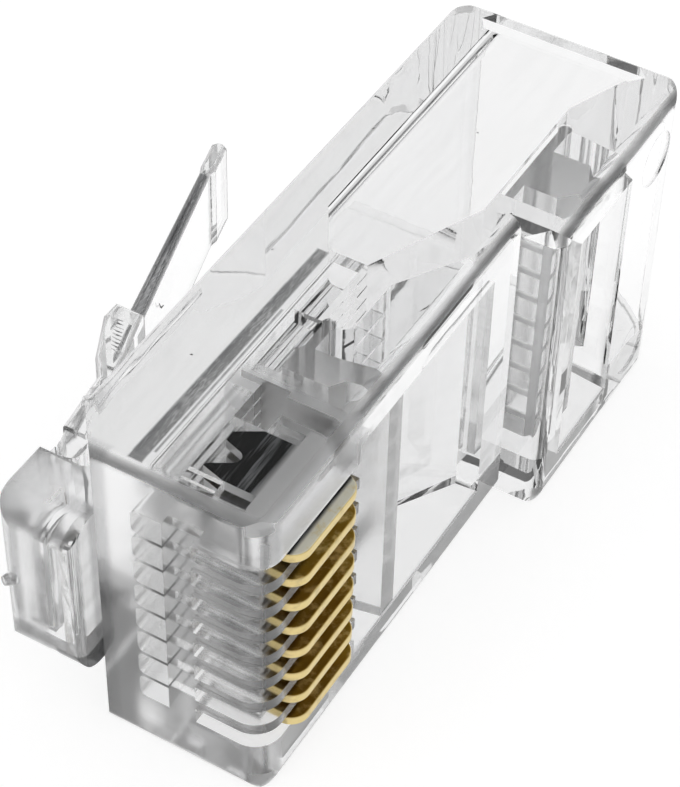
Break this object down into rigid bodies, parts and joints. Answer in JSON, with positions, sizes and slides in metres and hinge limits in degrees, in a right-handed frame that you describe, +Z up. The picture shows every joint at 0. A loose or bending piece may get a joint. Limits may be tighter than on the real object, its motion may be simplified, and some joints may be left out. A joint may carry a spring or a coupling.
{
  "type": "modular plug",
  "caption": "Clear modular plug with a sprung latch, gold contact blades in a comb of fins, and clamp bars for the conductors and the cable jacket.",
  "frame": {"origin": "middle of the side face that the plug rests on", "axes": "+Y from the nose to the cable end, +X from the latch side to the contact side, +Z up across the width"},
  "size_m": [0.0137, 0.0236, 0.0117],
  "materials": {
    "clear_body": "clear polycarbonate, moulded gloss",
    "clear_latch": "clear polycarbonate with faint flow marks",
    "clear_clamp": "clear polycarbonate, satin grip grooves",
    "gold_contact": "thin gold plate over phosphor bronze"
  },
  "bodies": {
    "housing": {"housing": "clear_body"},
    "latch_tab": {"latch_tab": "clear_latch"},
    "conductor_clamp": {"conductor_clamp": "clear_clamp"},
    "jacket_clamp": {"jacket_clamp": "clear_clamp"},
    "contact_1": {"contact_1": "gold_contact"},
    "contact_2": {"contact_2": "gold_contact"},
    "contact_3": {"contact_3": "gold_contact"},
    "contact_4": {"contact_4": "gold_contact"},
    "contact_5": {"contact_5": "gold_contact"},
    "contact_6": {"contact_6": "gold_contact"},
    "contact_7": {"contact_7": "gold_contact"},
    "contact_8": {"contact_8": "gold_contact"}
  },
  "joints": [
    {"name": "latch_flex", "type": "hinge", "parent": "housing", "child": "latch_tab", "pos_m": [-0.00432, -0.00922, 0.00584], "axis": [0, 0, -1], "range_deg": [0, 19], "stiffness_Nm_per_rad": 0.25},
    {"name": "conductor_clamp_press", "type": "hinge", "parent": "housing", "child": "conductor_clamp", "pos_m": [0.00045, -0.00324, 0.00584], "axis": [0, 0, -1], "range_deg": [0, 16]},
    {"name": "jacket_clamp_press", "type": "hinge", "parent": "housing", "child": "jacket_clamp", "pos_m": [0.00222, 0.00791, 0.00584], "axis": [0, 0, -1], "range_deg": [0, 25]},
    {"name": "contact_1_crimp", "type": "slide", "parent": "housing", "child": "contact_1", "axis": [-1, 0, 0], "range_m": [0, 0.00096]},
    {"name": "contact_2_crimp", "type": "slide", "parent": "housing", "child": "contact_2", "axis": [-1, 0, 0], "range_m": [0, 0.00096]},
    {"name": "contact_3_crimp", "type": "slide", "parent": "housing", "child": "contact_3", "axis": [-1, 0, 0], "range_m": [0, 0.00096]},
    {"name": "contact_4_crimp", "type": "slide", "parent": "housing", "child": "contact_4", "axis": [-1, 0, 0], "range_m": [0, 0.00096]},
    {"name": "contact_5_crimp", "type": "slide", "parent": "housing", "child": "contact_5", "axis": [-1, 0, 0], "range_m": [0, 0.00096]},
    {"name": "contact_6_crimp", "type": "slide", "parent": "housing", "child": "contact_6", "axis": [-1, 0, 0], "range_m": [0, 0.00096]},
    {"name": "contact_7_crimp", "type": "slide", "parent": "housing", "child": "contact_7", "axis": [-1, 0, 0], "range_m": [0, 0.00096]},
    {"name": "contact_8_crimp", "type": "slide", "parent": "housing", "child": "contact_8", "axis": [-1, 0, 0], "range_m": [0, 0.00096]}
  ]
}
